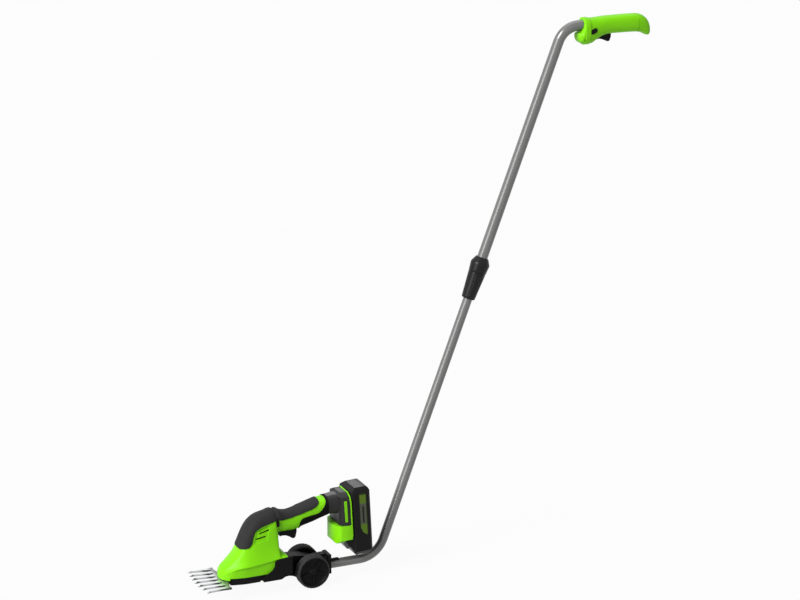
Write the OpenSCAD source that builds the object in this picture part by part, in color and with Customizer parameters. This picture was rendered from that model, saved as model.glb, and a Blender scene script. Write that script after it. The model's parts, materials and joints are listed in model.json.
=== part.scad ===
// Cordless grass shears carried on a two-wheeled trolley with a telescopic pole.
// +X runs back from the blades to the upper handle, +Z is up and the floor is Z = 0.
// The trolley is drawn round its axle, the shears round the heel of their sole and the
// upper handle round the pole's top corner. The whole is then centred along X.

/* [Cutter] */
// Width over the outer tooth tips
blade_w = 112; // [92:1:120]
// Teeth on each blade
tooth_count = 7; // [5:1:9]
// Length of a tooth on the fixed blade
tooth_len = 46; // [38:1:50]
// Width of a tooth at its root
tooth_root_w = 10; // [7:0.5:11]
// Width of a tooth at its tip
tooth_tip_w = 3; // [2:0.1:4]
// How far the outer tips lie behind the middle one
tip_sweep = 6; // [0:1:14]
// Angle by which the outer teeth fan out
tooth_fan = 7; // [0:1:12]
// Thickness of each blade
blade_t = 1.8; // [1.4:0.1:2]
// How much shorter the moving teeth are
tooth_short = 4; // [2:0.5:8]
// Swing of the moving blade to each side, degrees
blade_swing = 6; // [3:0.5:7]

/* [Drive] */
// Teeth on the motor pinion
pinion_teeth = 12; // [12:1:14]
// Teeth on the drive gear
gear_teeth = 36; // [30:1:38]
// Gear module
gear_module = 1.1; // [0.9:0.05:1.15]
// Face width of the gears
gear_t = 7; // [5:0.5:8]
// Throw of the eccentric pin
throw = 4; // [2:0.5:5]
// Radius of the motor can
motor_r = 18; // [14:0.5:19]
// Length of the motor can
motor_len = 52; // [40:1:60]

/* [Housing] */
// Length from the heel to the front of the nose
nose_len = 133; // [128:1:140]
// Half width over the ledge of the skirt
body_hw = 36; // [34:0.5:37]
// Half width of the motor hood
hood_hw = 27; // [24:0.5:29]
// Half width of the rear handle
grip_hw = 19; // [17:0.5:21]
// Height of the black base cover
base_h = 11; // [10.5:0.5:13]
// Wall of the housing shells
wall = 2.6; // [2:0.1:3]
// Thickness of the soft grip skins
grip_t = 1.4; // [0.8:0.1:2]
// Depth by which the side panels lie under the ledge
panel_step = 2; // [0.6:0.2:2.4]

/* [Battery] */
// Half width of the pack
pack_hw = 34; // [34:0.5:38]
// Height of the pack above the sole
pack_top = 154; // [153:1:162]
// Depth of the pack behind the dock
pack_depth = 40; // [38:1:50]
// Forward lean of the pack and the back of the dock, degrees
rake = 3; // [0:0.5:5]
// Number of cells
cell_count = 6; // [4:1:6]
// Cell radius
cell_r = 9.2; // [8.8:0.1:9.2]
// Cell length
cell_len = 65; // [58:1:65]

/* [Trolley] */
// Wheel radius over the tyre
wheel_r = 33; // [30:0.5:40]
// Wheel width
wheel_w = 20; // [15:0.5:24]
// Thickness of the tyre
tyre_t = 3.5; // [2.5:0.5:6]
// Grooves across the tread
tread_count = 30; // [16:1:36]
// Axle radius
axle_r = 4; // [3:0.5:5]
// Half width of the bracket's neck between the wheels
neck_hw = 12; // [11:0.5:14]
// Distance from the heel of the shears to the axle
heel_gap = 50; // [48:1:60]
// Wall of the cradle
cradle_t = 2.4; // [2:0.2:4]

/* [Pole] */
// Radius of the lower tube
lower_r = 9; // [8.5:0.1:9.1]
// Radius of the upper tube
upper_r = 10.3; // [10.2:0.1:11]
// Wall of the tubes
tube_t = 1; // [0.8:0.1:1.1]
// Height of the pole socket's axis below the axle
socket_drop = 4; // [1:0.5:5]
// Distance from the axle back to the pole's lower corner
corner_x = 148; // [140:1:170]
// Lean of the pole from the vertical, degrees
lean = 21; // [12:1:28]
// Radius of the lower bend
lower_bend_r = 54; // [48:1:62]
// Radius of the upper bend
upper_bend_r = 45; // [38:1:50]
// Height of the upper handle's axis above the floor
grip_z = 1051; // [950:1:1150]
// Distance up the leaning pole to the foot of the upper tube
joint_s = 590; // [520:1:640]
// Length of lower tube inside the upper tube
overlap = 110; // [80:1:140]

/* [Upper handle] */
// Half width of the upper handle
bar_hw = 16; // [14.5:0.5:18]
// Wall of the upper handle's shells
bar_wall = 2.4; // [2:0.1:2.8]

/* [Fits] */
// Gap between fixed neighbours
fit = 0.1; // [0.05:0.05:0.2]
// Radial running clearance of pins and shafts
run = 0.05; // [0.03:0.01:0.08]
// Gap beside sliding and swinging pieces
slide = 0.4; // [0.3:0.05:0.6]

/* [Hidden] */
$fn = 48;
lime = [0.49, 0.83, 0.13];
charcoal = [0.22, 0.22, 0.23];
black = [0.10, 0.10, 0.11];
steel = [0.72, 0.73, 0.74];
tube_grey = [0.50, 0.50, 0.50];

// Places of the main groups
axle_z = wheel_r;
heel_x = -heel_gap;
sole_z = axle_z;
socket_z = axle_z - socket_drop;
pole_run = (grip_z - socket_z) / cos(lean);
top_x = corner_x + (grip_z - socket_z) * tan(lean);
bar_len = 184;
tip_x = heel_x - nose_len - tooth_len - 2;
frame_x = (tip_x + top_x + bar_len) / 2;

// Levels of the cutter stack above the sole
sole_t = 1.4;
gap_t = 0.2;
fixed_z = sole_t + gap_t;
moving_z = fixed_z + blade_t + gap_t;
holder_z = moving_z + blade_t + gap_t;
plate_t = 3;
plate_z = base_h;
gear_z = plate_z + plate_t + 4;
motor_z = gear_z + gear_t + 8;
pivot_x = -nose_len + 22;
gear_x = pivot_x + throw / tan(blade_swing);
pitch_gap = gear_module * (pinion_teeth + gear_teeth) / 2 + 0.15;
motor_x = gear_x + pitch_gap;
// Rows of the hood and skirt are set for this length and move with the nose
set_len = 133;
ahead = set_len - nose_len;
pivot_r = 3;
pin_r = 3;
post_y = 26;

// Interpolation through hand-set key rows, and a closed skin over equal rings
function blend(a, b, c, d, t) =
    (2 * b + (c - a) * t + (2 * a - 5 * b + 4 * c - d) * t * t + (3 * b - a - 3 * c + d) * t * t * t) / 2;
function smooth(keys, steps) = concat(
    [for (i = [0 : len(keys) - 2]) for (j = [0 : steps - 1])
        blend(keys[max(i - 1, 0)], keys[i], keys[i + 1], keys[min(i + 2, len(keys) - 1)], j / steps)],
    [keys[len(keys) - 1]]);
function mean(points, i = 0) = i == len(points) - 1 ? points[i] / len(points)
    : points[i] / len(points) + mean(points, i + 1);

module skin(rings) {
    n = len(rings);
    m = len(rings[0]);
    side = [for (i = [0 : n - 2]) for (j = [0 : m - 1])
        [i * m + j, i * m + (j + 1) % m, (i + 1) * m + (j + 1) % m, (i + 1) * m + j]];
    halves = [for (f = side) each [[f[0], f[2], f[1]], [f[0], f[3], f[2]]]];
    front = [for (j = [0 : m - 1]) [n * m, j, (j + 1) % m]];
    back = [for (j = [0 : m - 1]) [n * m + 1, (n - 1) * m + (j + 1) % m, (n - 1) * m + j]];
    centres = [mean(rings[0]), mean(rings[n - 1])];
    polyhedron(concat([for (r = rings) each r], centres), concat(halves, front, back));
}

// Rounded-rectangle ring across X, squarer as power grows
function power_sign(v, e) = sign(v) * pow(abs(v), e);
function oval_ring(x, low, high, hw, power, count) = [for (k = [0 : count - 1])
    let (a = 360 * (k + 0.5) / count)
    [x, hw * power_sign(cos(a), 2 / power),
        (low + high) / 2 + (high - low) / 2 * power_sign(sin(a), 2 / power)]];

// Form of the motor housing: rows of x, ledge height, top and change of the hood's half width
body_low = 6.4;
body_keys = [
    [-nose_len + 0.3, 11, 16, 4 - hood_hw],
    [-nose_len + 3, 15, 23, 10 - hood_hw],
    [-nose_len + 9, 20, 29, 16 - hood_hw],
    [-nose_len + 17, 24, 35, 20 - hood_hw],
    [ahead - 106, 28, 44.5, 22.5 - hood_hw],
    [ahead - 97, 29.5, 55.5, -2.5],
    [ahead - 88, 30.5, 73, -1],
    [ahead - 79, 31, 95.3, -0.5],
    [ahead - 68, 32, 112.8, 0],
    [ahead - 54, 33.5, 122, 0],
    [ahead - 36, 36, 126.5, -1],
    [-24, 38, 129.6, -2],
    [-18.5, 38.5, 120, -3],
    [-17, 38.7, 63, -2],
    [-13, 39, 52.5, 0],
    [-8, 39.2, 46.5, 1],
    [-2.5, 39.5, 42.5, 2]];
// Form of the rear handle: rows of x, bottom, top and half width
grip_end_x = 89;
grip_keys = [
    [-34, 82, 116, -3],
    [-16, 83, 129, 0],
    [-7, 83, 124, 0.5],
    [8, 83, 120.8, 0],
    [26, 84.2, 124.5, 0],
    [32, 88.3, 126.8, 0],
    [41, 90.8, 129.3, -0.3],
    [58, 94.7, 134.3, -0.5],
    [72, 99.2, 137.8, -0.5],
    [grip_end_x, 104, 139.6, -0.5]];

nose_c = ahead - 80;
nose_power = 2.2;
hood_power = 3.4;
hood_rows = 10;
function nose_half(x) = x >= nose_c ? body_hw
    : body_hw * pow(1 - pow((nose_c - x) / (nose_c + nose_len), nose_power), 1 / nose_power);
function panel_in(x) = panel_step * min(1, max(0, (x + nose_len - 17) / 12));
function skirt_half(x) = nose_half(x) - panel_in(x);
function rows_normal(keys, i) = let (a = keys[max(i - 1, 0)], b = keys[min(i + 1, len(keys) - 1)],
    dx = b[0] - a[0], dz = b[2] - a[2], l = norm([dx, dz])) [-dz / l, dx / l];

// Half of one body section, from the skirt up to just below the crown
function body_half(k, low, high, ledge_w, panel_w, hood_w) = concat(
    [[panel_w, low], [panel_w, k[1]]],
    [for (j = [0 : hood_rows - 1]) let (v = 1 - pow(1 - j / hood_rows, 1.7))
        [(hood_w + (ledge_w - hood_w) * pow(1 - v, 3)) * pow(1 - pow(v, hood_power), 1 / hood_power),
            k[1] + 0.8 + v * (high - k[1] - 0.8)]]);
function body_ring(k, n, g) = let (
    x = k[0] + g * n[0],
    low = g < 0 ? -base_h : body_low,
    high = k[2] + g * n[1],
    ledge_w = max(nose_half(k[0]) + g, 0.8),
    panel_w = max(skirt_half(k[0]) + g, 0.7),
    half = body_half(k, low, high, ledge_w, panel_w, max(hood_hw + k[3] + g, 0.5)))
    concat([for (p = half) [x, p[0], p[1]]], [[x, 0, high]],
        [for (i = [len(half) - 1 : -1 : 0]) [x, -half[i][0], half[i][1]]]);
function body_rings(keys, g) = [for (i = [0 : len(keys) - 1]) body_ring(keys[i], rows_normal(keys, i), g)];

module grip_form(g) {
    keys = smooth(grip_keys, 2);
    open_end = g < 0 ? 3 : 0;
    skin([for (i = [0 : len(keys) - 1]) let (k = keys[i], last = i == len(keys) - 1 ? open_end : 0)
        oval_ring(k[0] + last, k[1] - g, k[2] + g, grip_hw + k[3] + g, 2.8, 24)]);
}
module tool_form(g) {
    skin(body_rings(smooth(body_keys, 2), g));
    grip_form(g);
}

// Side outline swept straight across the shears
module across(half_width) {
    rotate([90, 0, 0])
        linear_extrude(2 * half_width, center = true)
            children();
}
// Strip between two side curves, as a chain of rounded quads
module strip(inner, outer, r) {
    for (i = [0 : len(inner) - 2])
        hull()
            for (p = [inner[i], inner[i + 1], outer[i], outer[i + 1]])
                translate(p)
                    circle(r, $fn = 16);
}
// The four drawing frames, each moved to its place in the whole
module in_trolley() {
    translate([-frame_x, 0, 0])
        children();
}
module on_axle() {
    translate([-frame_x, 0, axle_z])
        children();
}
module in_shears() {
    translate([heel_x - frame_x, 0, sole_z])
        children();
}
module in_bar() {
    translate([top_x - frame_x, 0, grip_z])
        children();
}

// Housing shells
boss_places = [[ahead - 106, 34], [ahead - 86, 66], [ahead - 58, 104], [-23.5, 60], [37, 110], [72, 119]];
boss_r = 3.6;
screw_r = 1.5;
screw_head_r = 2.9;
screw_sink = 3;
lock_x = -17.5;
lock_w = 5;
lock_z = 105.3;
lock_h = 11;
trigger_hw = 7;
trigger_x = [-9, 27];
pivot_at = [-4, 88];
trigger_pin_r = 2;
pin_half = 13;
// Louvres: two ends and the depth of the floor from the middle plane. The middle one is open.
vents = [[[-57, 97.2], [-38.5, 101.3], 21.6], [[-55, 92.3], [-38, 96.4], 12], [[-63, 82.4],
    [-45, 85.2], 23.5]];
vent_r = 1.6;
vent_deep = 1.2;

module vent_slots() {
    for (v = vents)
        hull()
            for (p = [v[0], v[1]])
                translate([ahead + p[0], -body_hw, p[1]])
                    rotate([-90, 0, 0])
                        cylinder(r = vent_r, h = body_hw - v[2], $fn = 12);
}
// Sunk field round the vents, following the surface of the hood
vent_field = [[-59.5, 97.5], [-37.5, 103], [-42.5, 79], [-66.5, 76.5]];
module vent_sink() {
    difference() {
        hull()
            for (p = vent_field)
                translate([ahead + p[0], -body_hw, p[1]])
                    rotate([-90, 0, 0])
                        cylinder(r = 2, h = body_hw - 8, $fn = 12);
        tool_form(-vent_deep);
    }
}
module bosses() {
    for (p = boss_places)
        hull() {
            translate([p[0], -fit / 2, p[1]])
                rotate([90, 0, 0])
                    cylinder(r = boss_r, h = body_hw, $fn = 16);
            translate([p[0], -body_hw / 2 - 8, p[1]])
                cube([boss_r * 2 + 3, body_hw, boss_r * 2 - 2], center = true);
        }
}
module pin_bosses() {
    translate([pivot_at[0], -trigger_hw - slide, pivot_at[1]])
        rotate([90, 0, 0])
            cylinder(r = trigger_pin_r + 2.4, h = grip_hw, $fn = 16);
}
// Shell on the -Y side, with its own screw holes of the given radius
module housing_half(hole_r, sink) {
    difference() {
        union() {
            difference() {
                tool_form(0);
                tool_form(-wall);
            }
            intersection() {
                tool_form(-wall / 2);
                union() {
                    bosses();
                    pin_bosses();
                }
            }
        }
        translate([-200, -fit / 2, -50])
            cube([400, 100, 300]);
        translate([base_front - fit, -100, -50])
            cube([base_back - base_front + 10, 200, base_h + 50]);
        vent_slots();
        vent_sink();
        translate([trigger_x[0] - 1.5, -trigger_hw - slide, 60])
            cube([trigger_x[1] - trigger_x[0] + 3, 50, 33]);
        translate([lock_x - lock_w / 2 - slide, -50, lock_z - lock_h / 2 - slide])
            cube([lock_w + 2 * slide, 100, lock_h + 2 * slide]);
        translate([pivot_at[0], 0, pivot_at[1]])
            rotate([90, 0, 0])
                cylinder(r = trigger_pin_r + run, h = pin_half + fit, $fn = 24);
        for (p = boss_places) {
            translate([p[0], 0, p[1]])
                rotate([90, 0, 0])
                    cylinder(r = hole_r, h = sink > 0 ? 60 : 11, $fn = 16);
            if (sink > 0)
                translate([p[0], -screw_seat(p), p[1]])
                    rotate([90, 0, 0])
                        cylinder(r = screw_head_r + fit, h = 60, $fn = 16);
        }
    }
}
// Depth of a screw head's seat from the middle plane, by the place along the shears
function screw_seat(p) = (p[0] > -10 ? grip_hw - 2 : p[1] < 40 ? 24 : 18) - screw_sink;

module housing_left() {
    color(lime)
        housing_half(screw_r, 0);
}
module housing_right() {
    color(lime)
        mirror([0, 1, 0])
            housing_half(screw_r + fit, screw_sink);
}
module housing_screws() {
    color(steel)
        for (p = boss_places)
            translate([p[0], -10, p[1]])
                rotate([-90, 0, 0]) {
                    cylinder(r = screw_r - fit, h = 10 + screw_seat(p));
                    translate([0, 0, 10 + screw_seat(p) + fit])
                        cylinder(r = screw_head_r, h = 2);
                    translate([0, 0, 10 + screw_seat(p) - fit])
                        cylinder(r = screw_r - fit, h = 2 * fit);
                }
}

// Soft grips: the skin over the hood and handle, and the one below the handle
hood_front = [[-112, 50], [-99.2, 58.4], [-96, 63.6], [-92.3, 66], [-87.7, 67], [-79.6, 69.2],
    [-74.2, 75.8], [-71.3, 86.6], [-66.6, 96.8], [-61.9, 101.1], [-52.4, 105.9], [-33.4, 110.6]];
front_over = [[-125, 52], [-122, 60], [-121, 70], [-120, 78], [-119, 86], [-116, 96],
    [-110, 108], [-104, 120], [-97, 135], [-85, 148], [-60, 150], [-36, 150]];
function moved(points) = [for (p = points) [ahead + p[0], p[1]]];
hood_edge = concat(moved(hood_front), [[-22, 113.5], [-7, 112], [9, 113.5], [30, 118], [52, 123.5],
    [62, 127.5],
    [68, 133.5], [69, 150]]);
hood_over = concat(moved(front_over), [[-22, 150], [-7, 150], [9, 150], [30, 155], [52, 160], [58, 160],
    [60, 160], [62, 160]]);
// A form drawn on the -Y side and repeated on the other
module both_sides() {
    for (m = [0, 1])
        mirror([0, m, 0])
            intersection() {
                children();
                translate([-200, -100, 0])
                    cube([400, 100.01, 300]);
            }
}
skin_gap = 0.04;
module hood_grip() {
    color(charcoal)
        both_sides()
            intersection() {
                difference() {
                    tool_form(grip_t);
                    tool_form(skin_gap);
                }
                across(60)
                    strip(hood_edge, hood_over, 1.5);
            }
}
under_edge = [[26, 86], [28, 93], [30.5, 101], [35, 106], [44, 108], [54, 109.3], [64, 110.6], [70, 112.4],
    [76, 117.6], [81, 124.6], [84.5, 133], [86, 150], [grip_end_x + 2, 150]];
under_over = [for (p = under_edge) [p[0], 70]];
module lower_grip() {
    color(black)
        both_sides()
            intersection() {
                difference() {
                    grip_form(grip_t);
                    grip_form(skin_gap);
                }
                across(60)
                    strip(under_edge, under_over, 1);
                translate([trigger_x[1] + 1.6, -60, 60])
                    cube([grip_end_x - trigger_x[1] - 1.7, 120, 100]);
            }
}

// Base cover: tray below the skirt, open at the front for the blades
base_front = -nose_len + 15;
base_back = -2.5;
tray_t = 2;
runner_t = 2.2;
function tray_outline(inset) = let (xs = [for (i = [0 : 10]) base_front + inset
        + (nose_c - base_front) * pow(i / 10, 1.4)])
    concat([for (x = xs) [x, skirt_half(x - inset) - inset]],
        [[base_back - inset, body_hw - panel_step - inset],
        [base_back - inset, -body_hw + panel_step + inset]],
        [for (i = [len(xs) - 1 : -1 : 0]) [xs[i], inset - skirt_half(xs[i] - inset)]]);
post_places = [for (x = [pivot_x + 15, motor_x + 18.5]) for (s = [-1, 1]) [x, s * post_y]];
module base_cover() {
    color(black)
        difference() {
            union() {
                difference() {
                    linear_extrude(base_h - fit)
                        polygon(tray_outline(0));
                    translate([0, 0, sole_t])
                        linear_extrude(base_h)
                            polygon(tray_outline(tray_t));
                    translate([base_front - 1, -50, sole_t])
                        cube([tray_t + 1.1, 100, base_h]);
                }
                translate([0, 0, -runner_t])
                    linear_extrude(runner_t + sole_t / 2)
                        intersection() {
                            polygon(tray_outline(0));
                            translate([cradle_x[0] - 202.5, -60])
                                square([200, 120]);
                        }
                for (p = post_places)
                    translate([p[0], p[1], 0])
                        cylinder(r = 3.2, h = base_h - fit);
            }
            translate([pivot_x, 0, -5])
                cylinder(r = pivot_r + 2, h = 8);
        }
}

// Cutter stack
function tooth_tip(u) = [-nose_len - tooth_len - 2 + tip_sweep * u * u, u * (blade_w - tooth_tip_w) / 2];
function tooth_dir(u) = [cos(tooth_fan * u), -sin(tooth_fan * u)];
function tooth_side(u) = [sin(tooth_fan * u), cos(tooth_fan * u)];
// Outline of tooth u cut back by short, with flanks drawn in by bevel
function tooth_outline(u, short, bevel) = let (
    tip = tooth_tip(u) + tooth_dir(u) * (short + bevel),
    mid = tooth_tip(u) + tooth_dir(u) * tooth_len * 0.72,
    root = tooth_tip(u) + tooth_dir(u) * (tooth_len + 3),
    s = tooth_side(u))
    [tip + s * (tooth_tip_w / 2 - bevel), tip - s * (tooth_tip_w / 2 - bevel),
        mid - s * (tooth_root_w / 2 * 0.8 - bevel), root - s * (tooth_root_w / 2 + 1.5),
        root + s * (tooth_root_w / 2 + 1.5), mid + s * (tooth_root_w / 2 * 0.8 - bevel)];
// Slab from the low outline at z = 0 to the high one at the top face
module bevelled(low, high) {
    hull()
        skin([[for (p = low) [p[0], p[1], 0]], [for (p = high) [p[0], p[1], blade_t]]]);
}
module tooth(u, short, edge_up) {
    bevel = 0.8;
    low = tooth_outline(u, short, edge_up ? bevel : 0);
    high = tooth_outline(u, short, edge_up ? 0 : bevel);
    for (part = [[0, 1, 2, 5], [2, 3, 4, 5]])
        bevelled([for (k = part) low[k]], [for (k = part) high[k]]);
}
tooth_us = [for (i = [0 : tooth_count - 1]) 2 * i / (tooth_count - 1) - 1];
root_x = tooth_tip(0)[0] + tooth_len;
root_y = tooth_tip(1)[1] - tooth_len * sin(tooth_fan);
neck_x = pivot_x - 8;
// Plate behind the teeth, narrowing to a tail of the given half width
module blade_plate(tail_hw, tail_x) {
    bow = tip_sweep + tooth_len * (cos(tooth_fan) - 1);
    linear_extrude(blade_t)
        polygon(concat(
            [for (u = tooth_us) [root_x - 1 + bow * u * u, u * (root_y + tooth_root_w / 2)]],
            [[neck_x, tail_hw], [tail_x, tail_hw], [tail_x, -tail_hw], [neck_x, -tail_hw]]));
}
module comb(short, edge_up, tail_hw, tail_x) {
    blade_plate(tail_hw, tail_x);
    for (u = tooth_us)
        tooth(u, short, edge_up);
}
foot_y = 20;
foot_w = 2.2;
foot_x = pivot_x + 19;
tail_hw = 14.5;
window_y = pin_r + throw + (gear_x - pivot_x) * sin(blade_swing) + 0.6;
window_x = pin_r + throw + 0.8;
module fixed_blade() {
    color(steel)
        translate([0, 0, fixed_z])
            difference() {
                comb(0, true, foot_y + foot_w, foot_x + 8);
                translate([pivot_x, 0, -1])
                    cylinder(r = pivot_r + run, h = blade_t + 2);
                for (s = [-1, 1])
                    translate([foot_x, s * foot_y, -1])
                        cylinder(r = 1.2 + fit, h = blade_t + 2);
            }
}
module moving_blade() {
    color(steel)
        translate([0, 0, moving_z])
            difference() {
                comb(tooth_short, false, tail_hw, gear_x + window_x + 3);
                translate([pivot_x, 0, -1])
                    cylinder(r = pivot_r + run, h = blade_t + 2);
                translate([gear_x - window_x, -window_y, -1])
                    cube([2 * window_x, 2 * window_y, blade_t + 2]);
            }
}
// Bridge that spans the moving blade and clamps the fixed one
module blade_holder() {
    top = base_h - fit;
    color(black)
        difference() {
            union() {
                translate([0, 0, holder_z])
                    linear_extrude(top - holder_z)
                        polygon([[pivot_x - 11, 11], [pivot_x, foot_y + foot_w],
                            [foot_x + 6, foot_y + foot_w],
                            [foot_x + 6, -foot_y - foot_w], [pivot_x, -foot_y - foot_w],
                            [pivot_x - 11, -11]]);
                for (s = [-1, 1])
                    translate([foot_x - 4, s * foot_y - foot_w, fixed_z + blade_t])
                        cube([10, 2 * foot_w, top - fixed_z - blade_t]);
            }
            translate([pivot_x, 0, 0])
                cylinder(r = pivot_r + run, h = 20);
            for (s = [-1, 1])
                translate([foot_x, s * foot_y, 0]) {
                    cylinder(r = 1.2 + fit, h = 20);
                    translate([0, 0, top - 1.6])
                        cylinder(r = 2.1, h = 5);
                }
        }
}
module blade_pivot() {
    nut_z = plate_z + plate_t + fit;
    color(steel)
        difference() {
            union() {
                translate([pivot_x, 0, fixed_z])
                    cylinder(r = pivot_r, h = nut_z - fixed_z + 3.5);
                translate([pivot_x, 0, nut_z])
                    cylinder(r = 5.2, h = 3, $fn = 6);
                translate([pivot_x, 0, 0.3])
                    cylinder(r = 4.4, h = fixed_z - 0.3 - fit);
                translate([pivot_x, 0, 0.5])
                    cylinder(r = pivot_r, h = 2);
            }
            translate([pivot_x - 0.6, -5, 0])
                cube([1.2, 10, 0.9]);
        }
}
module blade_screws() {
    color(steel)
        for (s = [-1, 1])
            translate([foot_x, s * foot_y, fixed_z]) {
                cylinder(r = 1.2, h = base_h - fit - 1.5 - fixed_z);
                translate([0, 0, base_h - 1.55 - fixed_z])
                    cylinder(r = 1.9, h = 1.2);
            }
}

// Gear train
pressure = 25;
function involute(base_r, r) = let (t = sqrt(max(0, pow(r / base_r, 2) - 1))) t * 180 / PI - atan(t);
function flank_angle(teeth, r) = let (
    pitch_r = gear_module * teeth / 2,
    base_r = pitch_r * cos(pressure),
    thick = 90 / teeth - 14 / pitch_r / PI)
    thick + involute(base_r, pitch_r) - involute(base_r, max(r, base_r));
module spur(teeth, h) {
    pitch_r = gear_module * teeth / 2;
    tip = pitch_r + 0.9 * gear_module;
    root = pitch_r - 1.25 * gear_module;
    radii = [root, pitch_r - 0.6 * gear_module, pitch_r, pitch_r + 0.5 * gear_module, tip];
    linear_extrude(h)
        polygon([for (i = [0 : teeth - 1]) each concat(
            [for (j = [0 : 4]) let (a = 360 * i / teeth - flank_angle(teeth, radii[j]))
                radii[j] * [cos(a), sin(a)]],
            [for (j = [4 : -1 : 0]) let (a = 360 * i / teeth + flank_angle(teeth, radii[j]))
                radii[j] * [cos(a), sin(a)]])]);
}
shaft_r = 3;
motor_shaft_r = 1.6;
module drive_gear() {
    color([0.85, 0.83, 0.76])
        translate([gear_x, 0, gear_z])
            difference() {
                union() {
                    rotate(180 / gear_teeth)
                        spur(gear_teeth, gear_t);
                    translate([0, 0, gear_t - 1])
                        cylinder(r = 7, h = 4);
                    translate([throw, 0, moving_z + 0.3 - gear_z])
                        cylinder(r = pin_r, h = gear_z - moving_z);
                }
                translate([0, 0, 2])
                    cylinder(r = shaft_r, h = 20);
                for (a = [60 : 60 : 300])
                    rotate(a)
                        translate([12.5, 0, -1])
                            cylinder(r = 3, h = gear_t + 2);
            }
}
bush_h = 6;
module gear_shaft() {
    color(steel)
        translate([gear_x, 0, gear_z + 2])
            cylinder(r = shaft_r, h = motor_z - gear_z + bush_h);
}
module gear_bush() {
    color([0.72, 0.55, 0.28])
        translate([gear_x, 0, motor_z - plate_t])
            difference() {
                union() {
                    cylinder(r = shaft_r + 2, h = plate_t + bush_h - 2);
                    translate([0, 0, plate_t + fit])
                        cylinder(r = shaft_r + 3.5, h = 1.5);
                }
                translate([0, 0, -1])
                    cylinder(r = shaft_r + run, h = 30);
            }
}
plate_hw = post_y + 2.6;
module gearbox_plate() {
    color([0.55, 0.56, 0.57])
        difference() {
            union() {
                translate([0, 0, plate_z])
                    linear_extrude(plate_t)
                        polygon([[pivot_x - 11, 9], [pivot_x + 5, plate_hw - 6], [pivot_x + 12, plate_hw],
                            [motor_x + 23, plate_hw], [motor_x + 23, -plate_hw], [pivot_x + 12, -plate_hw],
                            [pivot_x + 5, 6 - plate_hw], [pivot_x - 11, -9]]);
                for (p = post_places)
                    translate([p[0], p[1] - sign(p[1]) * 3, plate_z])
                        cylinder(r = 3, h = motor_z - plate_t - plate_z);
            }
            translate([pivot_x, 0, 0])
                cylinder(r = pivot_r + run, h = 40);
            translate([gear_x, 0, 0])
                cylinder(r = pin_r + throw + 1, h = 40);
        }
}
module motor_plate() {
    color([0.55, 0.56, 0.57])
        translate([0, 0, motor_z - plate_t + fit])
            difference() {
                translate([pivot_x + 12, -post_y, 0])
                    cube([motor_x + 23 - pivot_x - 12, 2 * post_y, plate_t - fit]);
                translate([gear_x, 0, -1])
                    cylinder(r = shaft_r + 2 + run, h = 10);
                translate([motor_x, 0, -1])
                    cylinder(r = 7, h = 10);
            }
}
module motor_can() {
    color(steel)
        translate([motor_x, 0, motor_z + fit])
            difference() {
                union() {
                    cylinder(r = motor_r, h = motor_len);
                    translate([0, 0, -plate_t + 0.5])
                        cylinder(r = 6.4, h = plate_t);
                }
                translate([0, 0, -10])
                    cylinder(r = motor_shaft_r + run, h = motor_len);
                for (a = [0 : 90 : 270])
                    rotate(a + 45)
                        translate([motor_r, 0, motor_len * 0.55])
                            cube([5, 9, 16], center = true);
            }
}
module motor_end_cap() {
    color(black)
        translate([motor_x, 0, motor_z + motor_len + 2 * fit]) {
            cylinder(r = motor_r - 0.6, h = 4);
            cylinder(r = 7, h = 7);
            for (s = [-1, 1])
                translate([s * 11, 0, 5])
                    cube([0.8, 5, 8], center = true);
        }
}
module motor_shaft() {
    color(steel)
        translate([motor_x, 0, gear_z - 1])
            cylinder(r = motor_shaft_r, h = motor_z - gear_z + motor_len - 14);
}
module motor_pinion() {
    color([0.72, 0.55, 0.28])
        translate([motor_x, 0, gear_z])
            difference() {
                rotate(180 / pinion_teeth * (pinion_teeth % 2))
                    spur(pinion_teeth, gear_t);
                translate([0, 0, -1])
                    cylinder(r = motor_shaft_r + fit / 5, h = gear_t + 2);
            }
}

// Trigger with its pin, spring and switch, and the lock-off button
trigger_outline = [[-9, 72.8], [-9, 89], [-5, 92], [2, 92], [26.5, 88], [26.5, 78], [24, 67], [20, 64.5],
    [16, 66], [11, 69.7], [4, 73], [-3, 73.8]];
switch_z = 96;
module trigger() {
    color(black)
        difference() {
            across(trigger_hw)
                offset(1.2, $fn = 20)
                    offset(-1.2)
                        polygon(trigger_outline);
            translate([pivot_at[0], 0, pivot_at[1]])
                rotate([90, 0, 0])
                    cylinder(r = trigger_pin_r + run, h = 60, center = true);
        }
}
module trigger_pin() {
    color(steel)
        translate([pivot_at[0], 0, pivot_at[1]])
            rotate([90, 0, 0])
                cylinder(r = trigger_pin_r, h = 2 * pin_half, center = true);
}
// Helix tube from z = 0 to h
function helix(r, h, turns, steps) = [for (i = [0 : steps])
    [r * cos(360 * turns * i / steps), r * sin(360 * turns * i / steps), h * i / steps]];
module coil(r, wire, h, turns) {
    path = helix(r, h - 2 * wire, turns, turns * 8);
    skin([for (i = [0 : len(path) - 1])
        let (a = 360 * turns * i / (len(path) - 1))
        [for (k = [0 : 5]) path[i] + [0, 0, wire]
            + wire * (cos(-60 * k) * [cos(a), sin(a), 0] + sin(-60 * k) * [0, 0, 1])]]);
}
spring_x = 15;
trigger_spring_z = 90.9;
module trigger_spring() {
    color(steel)
        translate([spring_x, 0, trigger_spring_z])
            coil(2.8, 0.4, switch_z - trigger_spring_z - fit, 3);
}
module trigger_switch() {
    color(charcoal) {
        difference() {
            translate([5, -13, switch_z])
                cube([26, 26, 15]);
            for (s = [-1, 1])
                translate([18, s * 13, switch_z + 7.5])
                    cube([8, 3, 8], center = true);
        }
        translate([7, -3, switch_z - 1.6])
            cube([4, 6, 2]);
    }
}
lock_hw = 23.5;
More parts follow.
